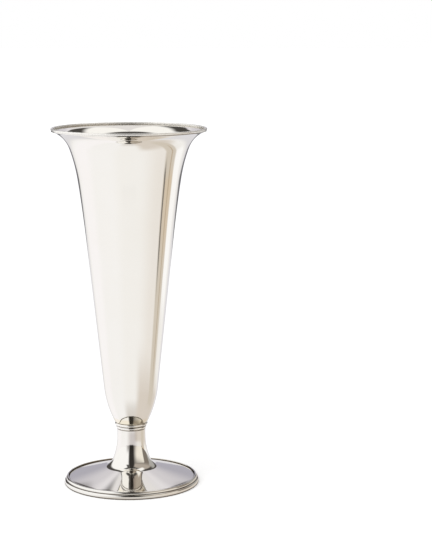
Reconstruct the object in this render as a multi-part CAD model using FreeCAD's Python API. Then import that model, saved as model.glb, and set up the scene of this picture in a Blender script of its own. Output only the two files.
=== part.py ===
"""Trumpet vase in sheet silver: spun shells, rings of drawn wire, a floor disc and a collet, soldered up.

Lengths are in millimetres and angles in degrees. +Z is up, and the origin is the centre of the circle
that the foot stands on. Every piece is turned about the Z axis, so each one is an outline in the half
plane of radius and height, revolved once.
"""
import FreeCAD, Part

import math
import os

from FreeCAD import Vector

# Whole vase
HEIGHT = 305.0
MOUTH_RADIUS = 65.4  # over the rim wire
FOOT_RADIUS = 57.6  # over the standing band
SOLDER_FILM = 0.05  # between turned pieces that are fitted one in the other

# Body: one sheet from the flared lip down to the rounded lower end. The three arcs of the flare are the
# shape of it: together they are made larger or smaller until they reach from the mouth to the flank.
BODY_WALL = 0.9
LIP_ANGLE = 72.5  # from the vertical, at the edge of the lip
LIP_ARC_RADIUS = 23.1
LIP_ARC_ANGLE = 52.2
NECK_ARC_RADIUS = 135.0
NECK_ARC_ANGLE = 11.4
FLARE_ARC_RADIUS = 1100.0
FLANK_ANGLE = 6.13  # from the vertical, where the body is a plain cone
BULB_ARC_RADIUS = 87.0
BULB_END_ANGLE = 26.6
TURN_IN_RADIUS = 2.0  # the lower edge is turned in, flat, as a seat
BODY_SEAT_WIDTH = 1.5
BODY_SEAT_HEIGHT = 53.0  # underside of the turned-in edge

# Rim wire: round, soldered on top of the lip
RIM_WIRE_DIAMETER = 2.0
RIM_WIRE_SEAT = 0.75  # from the wire's centre down to the lip
LIP_REACH = 0.2  # how far the lip runs on past the wire's centre

# Floor disc: dished, its flat edge on the body's turned-in edge and the collet
FLOOR_THICKNESS = 1.0
FLOOR_DISH_DEPTH = 1.5
FLOOR_DISH_PLAY = 0.4  # between the dish and the collet that it drops into

# Collar: two stepped reeds of drawn wire, round a short tube
COLLET_WALL = 1.0
COLLET_GRIP = 8.0  # length inside the stem
UPPER_REED_WIDTH = 2.9
UPPER_REED_HEIGHT = 2.6
UPPER_REED_CROWN = 1.2
LOWER_REED_WIDTH = 1.8
LOWER_REED_HEIGHT = 2.9
LOWER_REED_CROWN = 0.8

# Pedestal: stem, sweep and foot plate, one shell that is open underneath. The straight top and the two
# arcs are the shape of the stem, and are made larger or smaller until they reach down to the plate.
PEDESTAL_WALL = 1.0
STEM_RADIUS = 12.1
STEM_STRAIGHT = 6.3
STEM_FLARE_RADIUS = 55.5
STEM_FLARE_ANGLE = 21.9
FOOT_SWEEP_RADIUS = 11.0
PLATE_ANGLE = 15.7  # the plate's fall towards its edge
PLATE_BEND_RADIUS = 1.2
PLATE_EDGE_DROP = 0.9  # from the top of the border down to the plate, where it turns down
FLANGE_LIFT = 0.5  # the turned-down edge stays this far above the table

# Foot border: a reed above a wider band, both soldered round the turned-down edge. A shoulder is a share
# of its ring's width, and a toe a share of the height that the shoulder leaves.
BORDER_REED_WIDTH = 1.85
BORDER_REED_HEIGHT = 2.6
BORDER_REED_SHOULDER_SHARE = 0.95
BORDER_REED_TOE_SHARE = 0.5
BAND_WIDTH = 3.25
BAND_HEIGHT = 3.9
BAND_SHOULDER_SHARE = 0.5
BAND_TOE_SHARE = 0.25


class Outline:
    """A smooth path in the half plane of radius and height, made of straight runs and tangent arcs.

    The heading is measured from straight up and grows towards larger radii, so 180 is straight down.
    """

    def __init__(self, radius, height, heading):
        self.stations = [(radius, height, heading)]
        self.steps = []

    def run(self, length):
        """Goes straight on."""
        r, z, heading = self.stations[-1]
        angle = math.radians(heading)
        self.stations.append((r + length * math.sin(angle), z + length * math.cos(angle), heading))
        self.steps.append(("run", length))

    def arc(self, radius, turn):
        """Turns to the right where turn is positive, and to the left where it is negative."""
        r, z, heading = self.stations[-1]
        side = math.copysign(radius, turn)
        before = math.radians(heading)
        after = math.radians(heading + turn)
        r += side * (math.cos(before) - math.cos(after))
        z += side * (math.sin(after) - math.sin(before))
        self.stations.append((r, z, heading + turn))
        self.steps.append(("arc", side))

    def arc_to_heading(self, radius, heading):
        """Turns until the path has this heading."""
        self.arc(radius, heading - self.stations[-1][2])

    def follow(self, shape, scale):
        """Goes on the way that another path goes, at a scale."""
        for (kind, size), start, end in zip(shape.steps, shape.stations, shape.stations[1:]):
            if kind == "run":
                self.run(size * scale)
            else:
                self.arc(abs(size) * scale, end[2] - start[2])

    def beside(self, gap):
        """The parallel path, gap to the right of this one."""
        r, z, heading = self.stations[0]
        angle = math.radians(heading)
        path = Outline(r + gap * math.cos(angle), z - gap * math.sin(angle), heading)
        for (kind, size), (_, _, heading) in zip(self.steps, self.stations[1:]):
            if kind == "run":
                path.run(size)
            else:
                path.arc(abs(size - gap), heading - path.stations[-1][2])
        return path

    def edges(self):
        """The path's lines and arcs."""
        made = []
        for (kind, size), start, end in zip(self.steps, self.stations, self.stations[1:]):
            first = point(start[0], start[1])
            last = point(end[0], end[1])
            if kind == "run":
                made.append(Part.LineSegment(first, last).toShape())
            else:
                angle = math.radians(start[2])
                centre = first + point(size * math.cos(angle), -size * math.sin(angle))
                half_way = math.radians((start[2] + end[2]) / 2)
                middle = centre - point(size * math.cos(half_way), -size * math.sin(half_way))
                made.append(Part.Arc(first, middle, last).toShape())
        return made

    def first_point(self):
        return point(self.stations[0][0], self.stations[0][1])

    def last_point(self):
        return point(self.stations[-1][0], self.stations[-1][1])


def point(radius, height):
    """A point of the half plane."""
    return Vector(radius, 0, height)


def line(start, end):
    return Part.LineSegment(start, end).toShape()


def shape_and_run_between(shape, start, end):
    """From start to end: a shape that begins at 0, at the scale that it needs, and then a straight run."""
    reach = shape.last_point()
    across = end.x - start.x
    up = end.z - start.z
    angle = math.radians(shape.stations[-1][2])
    spread = reach.x * math.cos(angle) - reach.z * math.sin(angle)
    path = Outline(start.x, start.z, shape.stations[0][2])
    path.follow(shape, (across * math.cos(angle) - up * math.sin(angle)) / spread)
    path.run((reach.x * up - reach.z * across) / spread)
    return path


def turned(edges):
    """The solid that a closed outline sweeps about the Z axis."""
    face = Part.Face(Part.Wire(edges))
    return face.revolve(Vector(0, 0, 0), Vector(0, 0, 1), 360)


def turned_shell(outer, wall):
    """A wall between an outline and its parallel on the right."""
    inner = outer.beside(wall)
    ends = [line(outer.last_point(), inner.last_point()), line(inner.first_point(), outer.first_point())]
    return turned(outer.edges() + [ends[0]] + inner.edges()[::-1] + [ends[1]])


def turned_tube(inner_radius, outer_radius, low, high):
    corners = [
        point(inner_radius, low),
        point(outer_radius, low),
        point(outer_radius, high),
        point(inner_radius, high),
    ]
    return turned([line(a, b) for a, b in zip(corners, corners[1:] + corners[:1])])


def reeded_ring(bore, width, low, high, crown):
    """A ring with a flat top and bottom, whose outer side bulges by crown."""
    foot = point(bore + width - crown, low)
    belly = point(bore + width, (low + high) / 2)
    head = point(bore + width - crown, high)
    sides = [
        line(point(bore, low), foot),
        Part.Arc(foot, belly, head).toShape(),
        line(head, point(bore, high)),
        line(point(bore, high), point(bore, low)),
    ]
    return turned(sides)


def moulded_ring(bore, width, low, high, shoulder_share, toe_share):
    """A ring whose outer side is rounded off at its top by a shoulder and at its bottom by a toe."""
    shoulder = width * shoulder_share
    toe = (high - low - shoulder) * toe_share
    path = Outline(bore, high, 90)
    path.run(width - shoulder)
    path.arc(shoulder, 90)
    path.run(high - low - shoulder - toe)
    path.arc(toe, 90)
    path.run(width - toe)
    return turned(path.edges() + [line(path.last_point(), path.first_point())])


# Places that several pieces share
rim_wire_radius = RIM_WIRE_DIAMETER / 2
rim_centre = point(MOUTH_RADIUS - rim_wire_radius, HEIGHT - rim_wire_radius)
floor_height = BODY_SEAT_HEIGHT + BODY_WALL
lower_reed_top = BODY_SEAT_HEIGHT - UPPER_REED_HEIGHT
stem_top = lower_reed_top - LOWER_REED_HEIGHT
ring_bore = STEM_RADIUS - PEDESTAL_WALL
collet_outer = ring_bore - SOLDER_FILM
collet_inner = collet_outer - COLLET_WALL
body_seat_radius = ring_bore + BODY_SEAT_WIDTH
border_bore = FOOT_RADIUS - BAND_WIDTH
border_top = BAND_HEIGHT + BORDER_REED_HEIGHT
plate_radius = border_bore - SOLDER_FILM


def body_outline():
    """The body's outer side, from the edge of the lip down to the collar."""
    lean = math.radians(LIP_ANGLE)
    drop = RIM_WIRE_SEAT + BODY_WALL
    lip_edge = rim_centre + point(
        drop * math.cos(lean) + LIP_REACH * math.sin(lean), LIP_REACH * math.cos(lean) - drop * math.sin(lean)
    )
    flare = Outline(0, 0, 180 + LIP_ANGLE)
    flare.arc(LIP_ARC_RADIUS, -LIP_ARC_ANGLE)
    flare.arc(NECK_ARC_RADIUS, -NECK_ARC_ANGLE)
    flare.arc_to_heading(FLARE_ARC_RADIUS, 180 + FLANK_ANGLE)
    bulb = Outline(0, 0, 180 + FLANK_ANGLE)
    bulb.arc_to_heading(BULB_ARC_RADIUS, 180 + BULB_END_ANGLE)
    bulb.arc_to_heading(TURN_IN_RADIUS, 270)
    bulb_top = point(body_seat_radius, BODY_SEAT_HEIGHT) - bulb.last_point()
    path = shape_and_run_between(flare, lip_edge, bulb_top)
    path.follow(bulb, 1)
    path.run(BODY_SEAT_WIDTH)
    return path


def trumpet_body():
    return turned_shell(body_outline(), BODY_WALL)


def rim_wire(body):
    """Round wire with a seat for the lip."""
    section = Part.Face(Part.Wire(Part.Circle(rim_centre, Vector(0, 1, 0), rim_wire_radius).toShape()))
    ring = section.revolve(Vector(0, 0, 0), Vector(0, 0, 1), 360)
    return ring.cut(body)


def body_floor():
    """A disc with a dished middle and a flat edge, rounded off to lie in the body's turned-in corner."""
    dish_radius = collet_inner - FLOOR_DISH_PLAY
    bottom = floor_height - FLOOR_DISH_DEPTH
    sphere_radius = (dish_radius ** 2 + FLOOR_DISH_DEPTH ** 2) / (2 * FLOOR_DISH_DEPTH)
    half_angle = math.asin(dish_radius / sphere_radius) / 2

    def dished(level):
        rim = point(dish_radius, level + FLOOR_DISH_DEPTH)
        middle_drop = sphere_radius * (1 - math.cos(half_angle))
        middle = point(sphere_radius * math.sin(half_angle), level + middle_drop)
        return Part.Arc(point(0, level), middle, rim).toShape(), rim

    lower, _ = dished(bottom)
    upper, upper_rim = dished(bottom + FLOOR_THICKNESS)
    edge = Outline(dish_radius, floor_height, 90)
    edge.run(body_seat_radius - dish_radius)
    edge.arc_to_heading(TURN_IN_RADIUS - BODY_WALL - SOLDER_FILM, BULB_END_ANGLE)
    left = floor_height + FLOOR_THICKNESS - edge.last_point().z
    edge.run(left / math.cos(math.radians(BULB_END_ANGLE)))
    return turned([lower] + edge.edges() + [
        line(edge.last_point(), upper_rim),
        upper,
        line(point(0, bottom + FLOOR_THICKNESS), point(0, bottom)),
    ])


def pedestal():
    """Stem, sweep and foot plate, with the plate's edge turned down to the border."""
    stem = Outline(0, 0, 180)
    stem.run(STEM_STRAIGHT)
    stem.arc(STEM_FLARE_RADIUS, -STEM_FLARE_ANGLE)
    stem.arc_to_heading(FOOT_SWEEP_RADIUS, 90 + PLATE_ANGLE)
    bend = Outline(0, 0, 90 + PLATE_ANGLE)
    bend.arc_to_heading(PLATE_BEND_RADIUS, 180)
    flange_height = border_top - PLATE_EDGE_DROP - PLATE_BEND_RADIUS
    plate_end = point(plate_radius, flange_height) - bend.last_point()
    path = shape_and_run_between(stem, point(STEM_RADIUS, stem_top), plate_end)
    path.follow(bend, 1)
    path.run(flange_height - FLANGE_LIFT)
    return turned_shell(path, PEDESTAL_WALL)


def joint_collet():
    """The tube inside the collar: it grips the stem and carries the rings and the floor."""
    return turned_tube(collet_inner, collet_outer, stem_top - COLLET_GRIP, floor_height)


def collar_reed_upper():
    return reeded_ring(ring_bore, UPPER_REED_WIDTH, lower_reed_top, BODY_SEAT_HEIGHT, UPPER_REED_CROWN)


def collar_reed_lower():
    return reeded_ring(ring_bore, LOWER_REED_WIDTH, stem_top, lower_reed_top, LOWER_REED_CROWN)


def foot_border_reed():
    return moulded_ring(
        border_bore, BORDER_REED_WIDTH, BAND_HEIGHT, border_top,
        BORDER_REED_SHOULDER_SHARE, BORDER_REED_TOE_SHARE,
    )


def foot_border_band():
    return moulded_ring(border_bore, BAND_WIDTH, 0, BAND_HEIGHT, BAND_SHOULDER_SHARE, BAND_TOE_SHARE)


def main():
    body = trumpet_body()
    pieces = {
        "trumpet_body": body,
        "rim_wire": rim_wire(body),
        "body_floor": body_floor(),
        "joint_collet": joint_collet(),
        "collar_reed_upper": collar_reed_upper(),
        "collar_reed_lower": collar_reed_lower(),
        "pedestal": pedestal(),
        "foot_border_reed": foot_border_reed(),
        "foot_border_band": foot_border_band(),
    }
    os.makedirs("parts", exist_ok=True)
    for name, shape in pieces.items():
        shape.exportStep("parts/" + name + ".step")
        print(name, "solids", len(shape.Solids), "valid", shape.isValid(), "volume", round(shape.Volume, 1))


main()
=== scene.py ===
"""A trumpet vase in polished silver, standing on a white table in a plain studio.

Lengths are in metres, angles in degrees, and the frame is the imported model's: +Z is the vase's axis,
the table is at height 0, and the camera looks along +Y. Every shell and ring is turned: its outline is
drawn in the half plane of radius and height, and one tree of Geometry Nodes turns it about the axis.
"""

import math

import bpy
from mathutils import Matrix, Vector


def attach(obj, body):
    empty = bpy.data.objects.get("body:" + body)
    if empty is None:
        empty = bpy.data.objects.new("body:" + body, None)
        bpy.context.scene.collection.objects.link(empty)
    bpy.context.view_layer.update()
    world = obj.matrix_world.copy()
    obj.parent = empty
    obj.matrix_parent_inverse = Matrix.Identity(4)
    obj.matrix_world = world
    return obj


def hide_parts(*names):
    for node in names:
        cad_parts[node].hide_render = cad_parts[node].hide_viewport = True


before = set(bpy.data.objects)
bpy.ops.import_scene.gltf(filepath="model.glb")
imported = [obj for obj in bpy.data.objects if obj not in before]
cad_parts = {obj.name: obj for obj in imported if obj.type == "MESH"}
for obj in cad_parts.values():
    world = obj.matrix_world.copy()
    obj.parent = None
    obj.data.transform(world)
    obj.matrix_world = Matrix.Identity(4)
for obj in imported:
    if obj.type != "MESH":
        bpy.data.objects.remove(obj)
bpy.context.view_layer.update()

# Camera: 432 by 555 picture, its long side on the sensor. The lens and the sensor are in millimetres.
CAMERA_PLACE = (0.0727, -1.446, 0.4149)
CAMERA_PITCH = -9.30
CAMERA_LENS = 112.2
CAMERA_SENSOR = 36.0

# Vase, the same values as the solids, to a hundredth of a millimetre
HEIGHT = 0.305
MOUTH_RADIUS = 0.0654
FOOT_RADIUS = 0.0576
SOLDER_FILM = 0.00005

BODY_WALL = 0.0009
LIP_ANGLE = 72.5
LIP_ARC = (0.0231, 52.2)
NECK_ARC = (0.135, 11.4)
FLARE_ARC_RADIUS = 1.1
FLANK_ANGLE = 6.13
BULB_ARC_RADIUS = 0.087
BULB_END_ANGLE = 26.6
TURN_IN_RADIUS = 0.002
BODY_SEAT_WIDTH = 0.0015
BODY_SEAT_HEIGHT = 0.053

RIM_WIRE_RADIUS = 0.001
RIM_WIRE_SEAT = 0.00075
LIP_REACH = 0.0002

FLOOR_THICKNESS = 0.001
FLOOR_DISH_DEPTH = 0.0015
FLOOR_DISH_RADIUS = 0.00965

RING_BORE = 0.0111
UPPER_REED = {"outer": 0.014, "low": 0.0504, "high": 0.053, "crown": 0.0012}
LOWER_REED = {"outer": 0.0129, "low": 0.0475, "high": 0.0504, "crown": 0.0008}

PEDESTAL_WALL = 0.001
STEM_RADIUS = 0.0121
STEM_TOP = 0.0475
STEM_STRAIGHT = 0.0063
STEM_FLARE = (0.0555, 21.9)
FOOT_SWEEP_RADIUS = 0.011
PLATE_ANGLE = 15.7
PLATE_RADIUS = 0.0543
PLATE_EDGE_HEIGHT = 0.0056
PLATE_BEND_RADIUS = 0.0012
FLANGE_LIFT = 0.0005

BORDER_REED = {"outer": 0.0562, "low": 0.0039, "high": 0.0065, "shoulder": 0.00176, "toe": 0.00042}
BORDER_BAND = {"outer": FOOT_RADIUS, "low": 0.0, "high": 0.0039, "shoulder": 0.00162, "toe": 0.00057}

# How finely the outlines are divided
TURN_SEGMENTS = 240
LONGEST_STEP = 0.003
WIDEST_TURN = 1.2
WIDEST_SMALL_TURN = 7.0
SMALL_ARC_RADIUS = 0.003
SHARP_ANGLE = 35.0

# Colours, linear
SILVER = (0.945, 0.925, 0.885)
BREATHED_SILVER = (0.9214, 0.8926, 0.8319)
# Tarnish in the grooves, together with painted shade there
TARNISH_AND_SHADE = (0.16, 0.125, 0.09)
# Painted darker reflection, on the front of the stem
DARK_REFLECTION_SILVER = (0.64, 0.60, 0.58)
# Painted warm reflection, low on the bulb
WARM_REFLECTION_SILVER = (0.94, 0.885, 0.76)
BORE_SILVER = (0.34, 0.32, 0.30)
DULL_SILVER = (0.78, 0.75, 0.69)
BLOOMED_SILVER = (0.624, 0.585, 0.5106)

# Finish of the silver: roughness without a unit, the height of its waves in metres, and the fineness of
# each unevenness as a noise scale. The hairlines are stretched to run round the vase.
MIRROR_ROUGHNESS = 0.035
HAIRLINE_ROUGHNESS = 0.03
HAIRLINE_FINENESS = 420.0
HAIRLINE_STRETCH = (1.0, 1.0, 9.0)
BREATH_FINENESS = 22.0
WAVE_FINENESS = 26.0
WAVE_HEIGHT = 0.00002
BLOOM_FINENESS = 180.0

# Painted darker reflection on the front: from, to and softness, in degrees around the vase
DARK_REFLECTION_FRONT = (-8.0, 22.0, 11.0)


# Outlines
class Outline:
    """A smooth path of straight runs and tangent arcs, in the half plane of radius and height.

    The heading is measured from straight up and grows towards larger radii, so 180 is straight down.
    """

    def __init__(self, radius, height, heading):
        self.points = [(radius, height)]
        self.heading = heading

    def run(self, length):
        r, z = self.points[-1]
        angle = math.radians(self.heading)
        steps = max(1, math.ceil(length / LONGEST_STEP))
        for i in range(1, steps + 1):
            part = length * i / steps
            self.points.append((r + part * math.sin(angle), z + part * math.cos(angle)))

    def centre(self, radius, side):
        """Centre of a tangent arc that starts here, on the right where side is positive."""
        r, z = self.points[-1]
        angle = math.radians(self.heading)
        reach = math.copysign(radius, side)
        return r + reach * math.cos(angle), z - reach * math.sin(angle)

    def arc(self, radius, turn):
        """Turns to the right where turn is positive, and to the left where it is negative."""
        centre_r, centre_z = self.centre(radius, turn)
        side = math.copysign(radius, turn)
        widest = WIDEST_SMALL_TURN if radius < SMALL_ARC_RADIUS else WIDEST_TURN
        length = radius * math.radians(abs(turn))
        steps = max(1, math.ceil(abs(turn) / widest), math.ceil(length / LONGEST_STEP))
        for i in range(1, steps + 1):
            angle = math.radians(self.heading + turn * i / steps)
            self.points.append((centre_r - side * math.cos(angle), centre_z + side * math.sin(angle)))
        self.heading += turn

    def arc_to_heading(self, radius, heading):
        self.arc(radius, heading - self.heading)

    def follow(self, shape, scale):
        """Goes on the way that another path, which begins at 0, goes, at a scale."""
        r, z = self.points[-1]
        self.points += [(r + scale * across, z + scale * up) for across, up in shape.points[1:]]
        self.heading = shape.heading

    def with_wall(self, wall):
        """A closed outline: this path, and its parallel on the right, back to the start."""
        inner = []
        last = len(self.points) - 1
        for i, (r, z) in enumerate(self.points):
            before = self.points[max(i - 1, 0)]
            after = self.points[min(i + 1, last)]
            across = Vector((after[1] - before[1], before[0] - after[0])).normalized()
            inner.append((r + wall * across[0], z + wall * across[1]))
        return self.points + inner[::-1]


def shape_and_run_between(shape, heading, start, end):
    """From start to end: a shape that begins at 0, at the scale that it needs, and then a straight run."""
    reach, fall = shape.points[-1]
    across = end[0] - start[0]
    up = end[1] - start[1]
    angle = math.radians(shape.heading)
    spread = reach * math.cos(angle) - fall * math.sin(angle)
    path = Outline(*start, heading)
    path.follow(shape, (across * math.cos(angle) - up * math.sin(angle)) / spread)
    path.run((reach * up - fall * across) / spread)
    return path


def body_outline():
    """From the edge of the lip down to the edge that is turned in over the collar."""
    lean = math.radians(LIP_ANGLE)
    drop = RIM_WIRE_SEAT + BODY_WALL
    lip_edge = (
        MOUTH_RADIUS - RIM_WIRE_RADIUS + drop * math.cos(lean) + LIP_REACH * math.sin(lean),
        HEIGHT - RIM_WIRE_RADIUS - drop * math.sin(lean) + LIP_REACH * math.cos(lean),
    )
    flare = Outline(0.0, 0.0, 180 + LIP_ANGLE)
    flare.arc(LIP_ARC[0], -LIP_ARC[1])
    flare.arc(NECK_ARC[0], -NECK_ARC[1])
    flare.arc_to_heading(FLARE_ARC_RADIUS, 180 + FLANK_ANGLE)
    bulb = Outline(0.0, 0.0, 180 + FLANK_ANGLE)
    bulb.arc_to_heading(BULB_ARC_RADIUS, 180 + BULB_END_ANGLE)
    bulb.arc_to_heading(TURN_IN_RADIUS, 270)
    inwards, down = bulb.points[-1]
    bulb_top = (RING_BORE + BODY_SEAT_WIDTH - inwards, BODY_SEAT_HEIGHT - down)
    path = shape_and_run_between(flare, 180 + LIP_ANGLE, lip_edge, bulb_top)
    path.follow(bulb, 1)
    path.run(BODY_SEAT_WIDTH)
    return path


def pedestal_outline():
    """From the top of the stem down to the lower edge of the flange."""
    stem = Outline(0.0, 0.0, 180)
    stem.run(STEM_STRAIGHT)
    stem.arc(STEM_FLARE[0], -STEM_FLARE[1])
    stem.arc_to_heading(FOOT_SWEEP_RADIUS, 90 + PLATE_ANGLE)
    bend = Outline(0.0, 0.0, 90 + PLATE_ANGLE)
    bend.arc_to_heading(PLATE_BEND_RADIUS, 180)
    flange_height = PLATE_EDGE_HEIGHT - PLATE_BEND_RADIUS
    plate_end = (PLATE_RADIUS - bend.points[-1][0], flange_height - bend.points[-1][1])
    path = shape_and_run_between(stem, 180, (STEM_RADIUS, STEM_TOP), plate_end)
    path.follow(bend, 1)
    path.run(flange_height - FLANGE_LIFT)
    return path


def rim_wire_section():
    path = Outline(MOUTH_RADIUS, HEIGHT - RIM_WIRE_RADIUS, 180)
    path.arc(RIM_WIRE_RADIUS, 360)
    return path.points[:-1]


def reed_section(outer, low, high, crown):
    """A collar ring with a flat top and bottom, whose outer side bulges by crown."""
    half = (high - low) / 2
    radius = (half ** 2 + crown ** 2) / (2 * crown)
    half_turn = math.degrees(math.asin(half / radius))
    path = Outline(RING_BORE, high, 90)
    path.run(outer - crown - RING_BORE)
    path.heading = 180 - half_turn
    path.arc(radius, 2 * half_turn)
    path.points.append((RING_BORE, low))
    return path.points


def border_section(outer, low, high, shoulder, toe):
    """A foot ring whose outer side is rounded at its top and at its bottom."""
    bore = PLATE_RADIUS + SOLDER_FILM
    path = Outline(bore, high, 90)
    path.run(outer - shoulder - bore)
    path.arc(shoulder, 90)
    path.run(high - low - shoulder - toe)
    path.arc(toe, 90)
    path.points.append((bore, low))
    return path.points


def floor_section():
    """The dished disc that closes the body, from its upper middle out and round to its lower middle."""
    level = BODY_SEAT_HEIGHT + BODY_WALL
    sphere = (FLOOR_DISH_RADIUS ** 2 + FLOOR_DISH_DEPTH ** 2) / (2 * FLOOR_DISH_DEPTH)
    rim_angle = math.degrees(math.asin(FLOOR_DISH_RADIUS / sphere))
    lower = Outline(0.0, level - FLOOR_DISH_DEPTH, 90)
    lower.arc(sphere, -rim_angle)
    lower.heading = 90
    lower.run(RING_BORE + BODY_SEAT_WIDTH - FLOOR_DISH_RADIUS)
    lower.arc_to_heading(TURN_IN_RADIUS - BODY_WALL - SOLDER_FILM, BULB_END_ANGLE)
    lower.run((level + FLOOR_THICKNESS - lower.points[-1][1]) / math.cos(math.radians(BULB_END_ANGLE)))
    upper = Outline(0.0, level - FLOOR_DISH_DEPTH + FLOOR_THICKNESS, 90)
    upper.arc(sphere, -rim_angle)
    return upper.points + lower.points[::-1]


# Node trees
def add_node(tree, kind, settings=None, **inputs):
    """Adds a node, makes its settings, and then fills its sockets with values or links."""
    node = tree.nodes.new(kind)
    for name, value in (settings or {}).items():
        setattr(node, name, value)
    for key, value in inputs.items():
        socket = node.inputs[int(key[1:])] if key[1:].isdigit() else node.inputs[key.replace("_", " ")]
        if isinstance(value, Signal):
            value = value.socket
        if isinstance(value, bpy.types.NodeSocket):
            tree.links.new(value, socket)
        else:
            socket.default_value = value
    return node


class Signal:
    """A number worked out by nodes, written as a Python expression."""

    def __init__(self, tree, socket):
        self.tree = tree
        self.socket = socket

    def math(self, operation, *values):
        sockets = {f"i{i}": value for i, value in enumerate(values)}
        node = add_node(self.tree, "ShaderNodeMath", {"operation": operation}, **sockets)
        return Signal(self.tree, node.outputs[0])

    def __add__(self, other):
        return self.math("ADD", self, other)

    def __radd__(self, other):
        return self.math("ADD", other, self)

    def __sub__(self, other):
        return self.math("SUBTRACT", self, other)

    def __rsub__(self, other):
        return self.math("SUBTRACT", other, self)

    def __mul__(self, other):
        return self.math("MULTIPLY", self, other)

    def __rmul__(self, other):
        return self.math("MULTIPLY", other, self)

    def __truediv__(self, other):
        return self.math("DIVIDE", self, other)

    def __neg__(self):
        return self.math("MULTIPLY", self, -1.0)

    def larger(self, other):
        return self.math("MAXIMUM", self, other)

    def root(self):
        return self.math("SQRT", self)

    def size(self):
        return self.math("ABSOLUTE", self)

    def angle(self, along):
        """The angle whose tangent is this over along, in degrees."""
        return self.math("ARCTAN2", self, along) * (180 / math.pi)

    def step(self, low, high):
        """0 below low and 1 above high, or the other way round, with a smooth rise between them."""
        node = add_node(
            self.tree, "ShaderNodeMapRange", {"interpolation_type": "SMOOTHSTEP"},
            Value=self, From_Min=low, From_Max=high,
        )
        return Signal(self.tree, node.outputs[0])

    def between(self, low, high, soft):
        """1 between low and high, with soft edges."""
        return self.step(low - soft, low + soft) * (1 - self.step(high - soft, high + soft))


def layered(tree, base, layers):
    """A colour with others laid over it, each by its own mask."""
    colour = (*base, 1)
    for mask, over in layers:
        colour = add_node(
            tree, "ShaderNodeMix", {"data_type": "RGBA"}, i0=mask, i6=colour, i7=(*over, 1)
        ).outputs[2]
    return colour


def turned_piece_tree():
    """Geometry Nodes: turns the closed outline that the object holds about the Z axis.

    The second half of an outline is the inner side, which gets a material of its own.
    """
    tree = bpy.data.node_groups.new("turned piece", "GeometryNodeTree")
    face = tree.interface
    face.new_socket("Geometry", in_out="INPUT", socket_type="NodeSocketGeometry")
    face.new_socket("Segments", in_out="INPUT", socket_type="NodeSocketInt")
    face.new_socket("Sharp Angle", in_out="INPUT", socket_type="NodeSocketFloat")
    face.new_socket("Material", in_out="INPUT", socket_type="NodeSocketMaterial")
    face.new_socket("Inner Material", in_out="INPUT", socket_type="NodeSocketMaterial")
    face.new_socket("Geometry", in_out="OUTPUT", socket_type="NodeSocketGeometry")
    given = tree.nodes.new("NodeGroupInput").outputs

    def whole(operation, a, b):
        return add_node(tree, "FunctionNodeIntegerMath", {"operation": operation}, i0=a, i1=b).outputs[0]

    count = add_node(
        tree, "GeometryNodeAttributeDomainSize", {"component": "MESH"}, Geometry=given["Geometry"]
    ).outputs["Point Count"]
    rows = whole("ADD", given["Segments"], 1)
    columns = whole("ADD", count, 1)
    grid = add_node(tree, "GeometryNodeMeshGrid", None, Vertices_X=rows, Vertices_Y=columns).outputs["Mesh"]
    index = tree.nodes.new("GeometryNodeInputIndex").outputs[0]
    row = whole("DIVIDE_FLOOR", index, columns)
    along = whole("FLOORED_MODULO", whole("FLOORED_MODULO", index, columns), count)
    outline = add_node(
        tree, "GeometryNodeSampleIndex", {"data_type": "FLOAT_VECTOR", "domain": "POINT"},
        Geometry=given["Geometry"], Index=along,
        Value=tree.nodes.new("GeometryNodeInputPosition").outputs[0],
    ).outputs[0]
    share = add_node(tree, "ShaderNodeMath", {"operation": "DIVIDE"}, i0=row, i1=given["Segments"]).outputs[0]
    angle = add_node(tree, "ShaderNodeMath", {"operation": "MULTIPLY"}, i0=share, i1=math.tau).outputs[0]
    place = add_node(
        tree, "ShaderNodeVectorRotate", {"rotation_type": "Z_AXIS"}, Vector=outline, Angle=angle
    ).outputs[0]
    turned = add_node(tree, "GeometryNodeSetPosition", None, Geometry=grid, Position=place).outputs[0]
    twice = whole("MULTIPLY", whole("FLOORED_MODULO", index, count), 2)
    sides = tree.nodes.new("GeometryNodeCaptureAttribute")
    sides.domain = "FACE"
    sides.capture_items.new("BOOLEAN", "Inner Side")
    inner = add_node(
        tree, "FunctionNodeCompare", {"data_type": "INT", "operation": "GREATER_EQUAL"}, i2=twice, i3=count
    ).outputs[0]
    tree.links.new(turned, sides.inputs["Geometry"])
    tree.links.new(inner, sides.inputs["Inner Side"])
    merged = add_node(
        tree, "GeometryNodeMergeByDistance", None, Geometry=sides.outputs["Geometry"], Distance=1e-7
    ).outputs[0]
    smooth = add_node(
        tree, "GeometryNodeSetShadeSmooth", {"domain": "FACE"}, Geometry=merged, Shade_Smooth=True
    ).outputs[0]
    bend = tree.nodes.new("GeometryNodeInputMeshEdgeAngle").outputs["Unsigned Angle"]
    sharp = add_node(
        tree, "FunctionNodeCompare", {"data_type": "FLOAT", "operation": "GREATER_THAN"},
        i0=bend, i1=given["Sharp Angle"],
    ).outputs[0]
    creased = add_node(
        tree, "GeometryNodeSetShadeSmooth", {"domain": "EDGE"}, Geometry=smooth, Selection=sharp,
        Shade_Smooth=False,
    ).outputs[0]
    real = add_node(tree, "GeometryNodeRealizeInstances", None, Geometry=creased).outputs[0]
    outside = add_node(
        tree, "GeometryNodeSetMaterial", None, Geometry=real, Material=given["Material"]
    ).outputs[0]
    dressed = add_node(
        tree, "GeometryNodeSetMaterial", None,
        Geometry=outside, Selection=sides.outputs["Inner Side"], Material=given["Inner Material"],
    ).outputs[0]
    tree.links.new(dressed, tree.nodes.new("NodeGroupOutput").inputs[0])
    return tree


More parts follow.
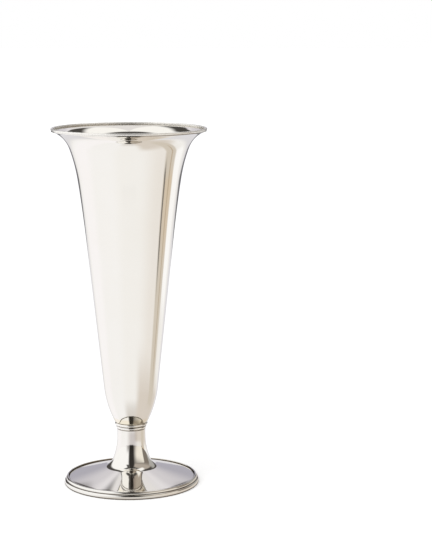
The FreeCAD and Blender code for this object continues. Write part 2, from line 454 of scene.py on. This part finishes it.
def turned_piece(name, outline, material, inner_material):
    """Turns a closed outline, given as points of radius and height, into a plain smooth mesh."""
    loop = bpy.data.meshes.new(name + " outline")
    count = len(outline)
    loop.from_pydata([(r, 0, z) for r, z in outline], [(i, (i + 1) % count) for i in range(count)], [])
    holder = bpy.data.objects.new(name + " outline", loop)
    bpy.context.scene.collection.objects.link(holder)
    modifier = holder.modifiers.new("turned", "NODES")
    modifier.node_group = TURNED_PIECE
    given = {
        "Segments": TURN_SEGMENTS, "Sharp Angle": math.radians(SHARP_ANGLE),
        "Material": material, "Inner Material": inner_material,
    }
    for item in TURNED_PIECE.interface.items_tree:
        if item.in_out == "INPUT" and item.name in given:
            modifier[item.identifier] = given[item.name]
    evaluated = holder.evaluated_get(bpy.context.evaluated_depsgraph_get())
    mesh = bpy.data.meshes.new_from_object(evaluated)
    bpy.data.objects.remove(holder)
    mesh.name = name
    piece = bpy.data.objects.new(name, mesh)
    bpy.context.scene.collection.objects.link(piece)
    return piece


# Silver
def new_material(name):
    material = bpy.data.materials.new(name)
    material.use_nodes = True
    material.node_tree.nodes.clear()
    return material, material.node_tree


def placed(tree):
    """Object coordinates as a vector and as x, y and z, the distance from the axis, and the angle around it.

    The angle is 0 in front, 90 on the right and 180 behind.
    """
    where = tree.nodes.new("ShaderNodeTexCoord").outputs["Object"]
    parts = add_node(tree, "ShaderNodeSeparateXYZ", None, Vector=where).outputs
    x, y, z = (Signal(tree, parts[i]) for i in range(3))
    return where, (x, y, z), (x * x + y * y).root(), x.angle(-y)


def noise(tree, where, scale, detail):
    node = add_node(tree, "ShaderNodeTexNoise", None, Vector=where, Scale=scale, Detail=detail)
    return Signal(tree, node.outputs[0])


def add_silver(tree, tint, metallic, rough, uneven):
    bump = add_node(
        tree, "ShaderNodeBump", None, Strength=1.0, Distance=1.0, Height=uneven * WAVE_HEIGHT
    ).outputs[0]
    shader = add_node(
        tree, "ShaderNodeBsdfPrincipled", None,
        Base_Color=tint, Metallic=metallic, Roughness=rough, Normal=bump,
    )
    add_node(tree, "ShaderNodeOutputMaterial", None, Surface=shader.outputs[0])


def polished_silver(
    name, grooves=(), dark_reflection_band=None, warm_reflection_below=None, satin_below=None,
    roughness=MIRROR_ROUGHNESS, metallic=1.0,
):
    """Mirror-polished silver: slow hand-worked waves, fine hairlines, and tarnish with painted shade in the
    grooves.

    Each groove is a radius, a height and how far the tarnish and painted shade spread from it. The
    dark reflection band is the two heights between which the front of the stem has a painted darker
    reflection. Below the warm reflection height the silver has a painted warm reflection, low on the
    bulb. Below the satin height the polish gives way to a dark satin, where no polishing wheel reaches.
    """
    material, tree = new_material(name)
    where, (_, _, height), radius, around = placed(tree)
    stretched = add_node(tree, "ShaderNodeMapping", None, Vector=where, Scale=HAIRLINE_STRETCH).outputs[0]
    rough = roughness + noise(tree, stretched, HAIRLINE_FINENESS, 4.0) * HAIRLINE_ROUGHNESS
    breath = noise(tree, where, BREATH_FINENESS, 3.0).step(0.35, 0.75)
    layers = [(breath * 0.35, BREATHED_SILVER)]
    if dark_reflection_band is not None:
        # Painted darker reflection on the front of the stem
        dark_reflection = height.between(*dark_reflection_band, 0.004) * around.between(*DARK_REFLECTION_FRONT)
        layers.append((dark_reflection, DARK_REFLECTION_SILVER))
    # Painted warm reflection: yellower silver low on the bulb
    if warm_reflection_below is not None:
        layers.append((height.step(warm_reflection_below, warm_reflection_below - 0.002), WARM_REFLECTION_SILVER))
    stain_and_shade = None
    # The grooves get tarnish together with painted shade
    for groove_radius, groove_height, spread in grooves:
        across = radius - groove_radius
        up = height - groove_height
        gap = (across * across + up * up).root()
        here = 1 - gap.step(spread * 0.3, spread)
        stain_and_shade = here if stain_and_shade is None else stain_and_shade.larger(here)
    if stain_and_shade is not None:
        layers.append((stain_and_shade * 0.9, TARNISH_AND_SHADE))
        rough = rough + stain_and_shade * 0.3
    if satin_below is not None:
        satin = height.step(satin_below, satin_below - 0.03)
        layers.append((satin, BORE_SILVER))
        rough = rough + satin * 0.25
        metallic = metallic - satin * 0.35
    waves = noise(tree, where, WAVE_FINENESS, 1.0)
    add_silver(tree, layered(tree, SILVER, layers), metallic, rough, waves)
    return material


def dull_silver():
    """Silver as soldering leaves it: matt, a little yellow, with a mottled bloom."""
    material, tree = new_material("unpolished silver")
    where, _, _, _ = placed(tree)
    bloom = noise(tree, where, BLOOM_FINENESS, 5.0)
    tint = layered(tree, DULL_SILVER, [(bloom, BLOOMED_SILVER)])
    add_silver(tree, tint, 1.0, 0.3 + bloom * 0.15, bloom)
    return material


# The vase
TURNED_PIECE = turned_piece_tree()

# Grooves darkened by tarnish together with painted shade
COLLAR_GROOVES = (
    (UPPER_REED["outer"] - UPPER_REED["crown"], UPPER_REED["high"], 0.0009),
    (UPPER_REED["outer"] - UPPER_REED["crown"], UPPER_REED["low"], 0.0009),
    (LOWER_REED["outer"] - LOWER_REED["crown"], LOWER_REED["low"], 0.0007),
)
# The last mark is painted shade at the band's toe, where it meets the table
BORDER_GROOVES = (
    (PLATE_RADIUS, PLATE_EDGE_HEIGHT - 0.0004, 0.0012),
    (BORDER_REED["outer"] - BORDER_REED["toe"], BORDER_REED["low"], 0.0011),
    (FOOT_RADIUS, BORDER_BAND["toe"], 0.0009),
)
RIM_GROOVES = ((MOUTH_RADIUS - 0.0006, HEIGHT - 0.0022, 0.0007),)

# The body gets a painted warm reflection low on the bulb
body_silver = polished_silver("polished silver body", COLLAR_GROOVES + RIM_GROOVES, warm_reflection_below=0.0585)
bore_silver = polished_silver("polished silver bore", satin_below=0.28)
rim_silver = polished_silver("polished silver rim", RIM_GROOVES, roughness=0.22, metallic=0.6)
# The foot gets a painted darker reflection on the front of its stem, between these two heights
foot_silver = polished_silver("polished silver foot", COLLAR_GROOVES + BORDER_GROOVES, (0.031, 0.0475))
hidden_silver = dull_silver()

vase_pieces = {
    "trumpet_body": (body_outline().with_wall(BODY_WALL), body_silver, bore_silver, "polished_silver"),
    "rim_wire": (rim_wire_section(), rim_silver, rim_silver, "polished_silver"),
    "body_floor": (floor_section(), hidden_silver, hidden_silver, "unpolished_silver"),
    "collar_reed_upper": (reed_section(**UPPER_REED), foot_silver, foot_silver, "polished_silver"),
    "collar_reed_lower": (reed_section(**LOWER_REED), foot_silver, foot_silver, "polished_silver"),
    "pedestal": (pedestal_outline().with_wall(PEDESTAL_WALL), foot_silver, hidden_silver, "polished_silver"),
    "foot_border_reed": (border_section(**BORDER_REED), foot_silver, foot_silver, "polished_silver"),
    "foot_border_band": (border_section(**BORDER_BAND), foot_silver, foot_silver, "polished_silver"),
}
for node, (outline, outer_material, inner_material, slot) in vase_pieces.items():
    piece = turned_piece("turned_" + node, outline, outer_material, inner_material)
    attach(piece, "root")
    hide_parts(node)

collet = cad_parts["joint_collet"]
for material_slot in collet.material_slots:
    material_slot.material = hidden_silver


# Studio
DOME_RADIUS = 1.7
DOME_HEIGHT = 0.95
TABLE_HALF = 12.0
KEY_LAMP_PLACE = (-1.2, -1.0, 1.6)
KEY_LAMP_SIZE = 1.6
KEY_LAMP_POWER = 16.0
ROOM_LIGHT = 0.75

# Where the silver shows the dark round the camera: from, to and softness, in degrees around the vase
CAMERA_SLOT = (-13.0, 17.0, 3.0)


def glow(tree, colour):
    return add_node(tree, "ShaderNodeEmission", None, Color=colour, Strength=1.0).outputs[0]


def studio_cards():
    """The room that the silver shows, on a low dome: white cards on the left and overhead, cream, brown and
    grey ones on the right, a dark slot in front for the camera, and pale paper behind.

    Around is 0 in front, 90 on the right and 180 behind, and height is the angle above the horizon.
    """
    material, tree = new_material("studio cards")
    _, (_, _, up), away, around = placed(tree)
    height = up.angle(away)
    behind = around.size()

    cream_card = around.step(10.0, 44.0) * around.step(92.0, 84.0) * height.step(38.0, 14.0)
    brown_card = around.between(88.0, 124.0, 4.0) * height.step(40.0, 26.0)
    grey_card = around.between(124.0, 158.0, 3.0) * height.step(42.0, 30.0)
    upper_card = around.between(22.0, 138.0, 7.0) * height.step(20.0, 44.0)
    white_card = around.between(-138.0, -17.0, 7.0) * height.step(84.0, 72.0)
    slot_side = around.step(-44.0, -20.0) * (1 - height.step(2.0, 15.0)) * around.between(-50.0, -6.0, 3.0)
    slot_shade = around.between(-34.0, -12.0, 6.0) * height.step(38.0, 48.0)
    front_cap = around.between(-42.0, 38.0, 10.0) * height.step(60.0, 67.0)
    side_cap = around.between(-108.0, 110.0, 6.0) * height.step(67.0, 72.0)
    white_overhead = behind.step(82.0, 106.0) * height.step(56.0, 63.0)
    camera_slot = around.between(*CAMERA_SLOT) * height.step(84.0, 78.0)
    above_paper = behind.step(165.0, 168.0) * height.step(38.0, 45.0)
    paper = (around.step(-159.5, -161.5) + around.step(164.5, 167.0)) * height.step(47.0, 42.0)
    paper_top = paper * height.step(37.0, 44.0)
    paper_foot = paper * height.step(36.0, 14.0)

    colour = layered(tree, (0.07, 0.065, 0.06), [
        (cream_card, (0.90, 0.85, 0.76)),
        (brown_card, (0.22, 0.19, 0.16)),
        (grey_card, (0.42, 0.41, 0.39)),
        (upper_card, (0.44, 0.39, 0.34)),
        (white_card, (1.0, 1.0, 1.0)),
        (slot_side, (0.42, 0.41, 0.40)),
        (slot_shade, (0.1, 0.095, 0.09)),
        (front_cap, (0.09, 0.085, 0.08)),
        (side_cap, (0.09, 0.085, 0.08)),
        (white_overhead, (1.0, 0.99, 0.97)),
        (camera_slot, (0.035, 0.032, 0.028)),
        (above_paper, (0.80, 0.78, 0.78)),
        (paper, (0.67, 0.65, 0.69)),
        (paper_top, (0.82, 0.80, 0.83)),
        (paper_foot, (0.44, 0.43, 0.49)),
    ])
    add_node(tree, "ShaderNodeOutputMaterial", None, Surface=glow(tree, colour))
    bpy.ops.mesh.primitive_uv_sphere_add(segments=64, ring_count=32, radius=DOME_RADIUS)
    dome = bpy.context.object
    dome.name = "studio_cards"
    dome.data.transform(Matrix.Diagonal((1, 1, DOME_HEIGHT / DOME_RADIUS, 1)))
    dome.data.materials.append(material)
    dome.visible_camera = False
    dome.visible_diffuse = False
    dome.visible_shadow = False
    return dome


def table():
    """White table: it keeps the vase's shadow, and runs out of the picture on every side.

    The camera sees it white up to the horizon. The silver shows its light and shade painted into its colour:
    whitest on the left, with painted shade close to the foot and a painted contact shadow under the border,
    warm on the right where a painted reflection of a second vase crosses it, lilac behind, and dark beyond
    its edge.
    """
    material, tree = new_material("white table")
    _, (_, y, _), away, around = placed(tree)
    behind = around.size()

    # Painted shade of the vase on the table close to the foot, as the silver shows it
    shade_near_foot = away.step(0.15, 0.06)
    left_side = around.between(-132.0, -25.0, 15.0)
    far_left = around.between(-132.0, -88.0, 12.0)
    right_side = around.between(48.0, 112.0, 26.0)
    right_near = around.between(30.0, 140.0, 14.0) * away.step(0.34, 0.18)
    lilac_behind = behind.step(134.0, 154.0)
    # A painted reflection of a second vase crossing the table on the right, with a lighter band beside it and
    # a dark edge
    beside_vase_reflection = around.between(111.0, 134.0, 4.0) * away.step(0.45, 0.65)
    vase_reflection = around.between(84.0, 111.0, 3.0) * away.step(0.09, 0.15)
    vase_reflection_far = vase_reflection * away.step(0.6, 0.9)
    vase_reflection_line = around.between(99.0, 101.5, 1.2) * away.step(0.2, 0.35)
    vase_reflection_edge = around.between(85.0, 89.0, 1.3) * away.step(0.45, 0.7)
    beyond_far_edge = y.step(1.0, 1.3) * behind.step(140.0, 146.0)
    beyond_near_edge = y.step(-0.95, -1.2)
    camera_slot = around.between(*CAMERA_SLOT) * away.step(0.62, 0.8)
    # Painted contact shadow: a dark ring on the table right under the foot's border
    painted_contact_shadow = away.step(0.0595, 0.058)

    shown = layered(tree, (0.84, 0.83, 0.82), [
        (shade_near_foot, (0.62, 0.59, 0.56)),
        (left_side, (0.86, 0.855, 0.86)),
        (far_left, (0.90, 0.885, 0.91)),
        (right_side, (0.77, 0.735, 0.70)),
        (right_near, (0.62, 0.56, 0.50)),
        (lilac_behind, (0.66, 0.65, 0.68)),
        (beside_vase_reflection, (0.93, 0.93, 0.94)),
        (vase_reflection, (0.57, 0.51, 0.43)),
        (vase_reflection_far, (0.60, 0.49, 0.36)),
        (vase_reflection_line, (0.40, 0.30, 0.19)),
        (vase_reflection_edge, (0.10, 0.085, 0.07)),
        (beyond_far_edge, (0.07, 0.07, 0.07)),
        (beyond_near_edge, (0.07, 0.07, 0.065)),
        (camera_slot, (0.04, 0.04, 0.035)),
        (painted_contact_shadow, (0.25, 0.23, 0.21)),
    ])
    lift = layered(tree, (0.28, 0.28, 0.28), [(away.step(0.3, 3.0), (0.42, 0.42, 0.42))])
    white = add_node(tree, "ShaderNodeBsdfDiffuse", None, Color=(0.9, 0.9, 0.9, 1)).outputs[0]
    grey = add_node(tree, "ShaderNodeBsdfDiffuse", None, Color=(0.1, 0.1, 0.1, 1)).outputs[0]
    to_camera = add_node(tree, "ShaderNodeAddShader", None, i0=white, i1=glow(tree, lift)).outputs[0]
    to_silver = add_node(tree, "ShaderNodeAddShader", None, i0=grey, i1=glow(tree, shown)).outputs[0]
    seen = tree.nodes.new("ShaderNodeLightPath").outputs["Is Camera Ray"]
    both = add_node(tree, "ShaderNodeMixShader", None, i0=seen, i1=to_silver, i2=to_camera).outputs[0]
    add_node(tree, "ShaderNodeOutputMaterial", None, Surface=both)
    mesh = bpy.data.meshes.new("white_table")
    half = TABLE_HALF
    corners = [(-half, -half, 0), (half, -half, 0), (half, half, 0), (-half, half, 0)]
    mesh.from_pydata(corners, [], [(0, 1, 2, 3)])
    mesh.materials.append(material)
    plane = bpy.data.objects.new("white_table", mesh)
    bpy.context.scene.collection.objects.link(plane)
    return plane


def key_lamp():
    """A soft square lamp, high on the left in front, that points at the foot."""
    lamp = bpy.data.lights.new("key lamp", "AREA")
    lamp.shape = "RECTANGLE"
    lamp.size = KEY_LAMP_SIZE
    lamp.size_y = KEY_LAMP_SIZE
    lamp.energy = KEY_LAMP_POWER
    holder = bpy.data.objects.new("key lamp", lamp)
    holder.location = KEY_LAMP_PLACE
    holder.rotation_euler = (-Vector(KEY_LAMP_PLACE)).to_track_quat("-Z", "Y").to_euler()
    bpy.context.scene.collection.objects.link(holder)
    holder.visible_glossy = False


def studio_world():
    """White wherever it is looked at, straight or in the silver, and a softer light on all else."""
    world = bpy.data.worlds.new("studio")
    bpy.context.scene.world = world
    world.use_nodes = True
    tree = world.node_tree
    tree.nodes.clear()
    light = add_node(tree, "ShaderNodeBackground", None, Color=(1, 1, 1, 1), Strength=ROOM_LIGHT).outputs[0]
    seen = add_node(tree, "ShaderNodeBackground", None, Color=(1, 1, 1, 1), Strength=1.0).outputs[0]
    path = tree.nodes.new("ShaderNodeLightPath").outputs
    direct = Signal(tree, path["Is Camera Ray"]).larger(Signal(tree, path["Is Glossy Ray"]))
    direct = direct.larger(Signal(tree, path["Is Transmission Ray"]))
    mixed = add_node(tree, "ShaderNodeMixShader", None, i0=direct, i1=light, i2=seen).outputs[0]
    add_node(tree, "ShaderNodeOutputWorld", None, Surface=mixed)


def photo_camera():
    """The photograph's camera, as fitted to the vase in it."""
    data = bpy.data.cameras.new("camera")
    data.lens = CAMERA_LENS
    data.sensor_width = CAMERA_SENSOR
    camera = bpy.data.objects.new("camera", data)
    camera.location = CAMERA_PLACE
    camera.rotation_euler = (math.radians(90 + CAMERA_PITCH), 0, 0)
    bpy.context.scene.collection.objects.link(camera)
    bpy.context.scene.camera = camera


studio_cards()
table()
studio_world()
key_lamp()
photo_camera()
bpy.context.scene.view_settings.view_transform = "Standard"
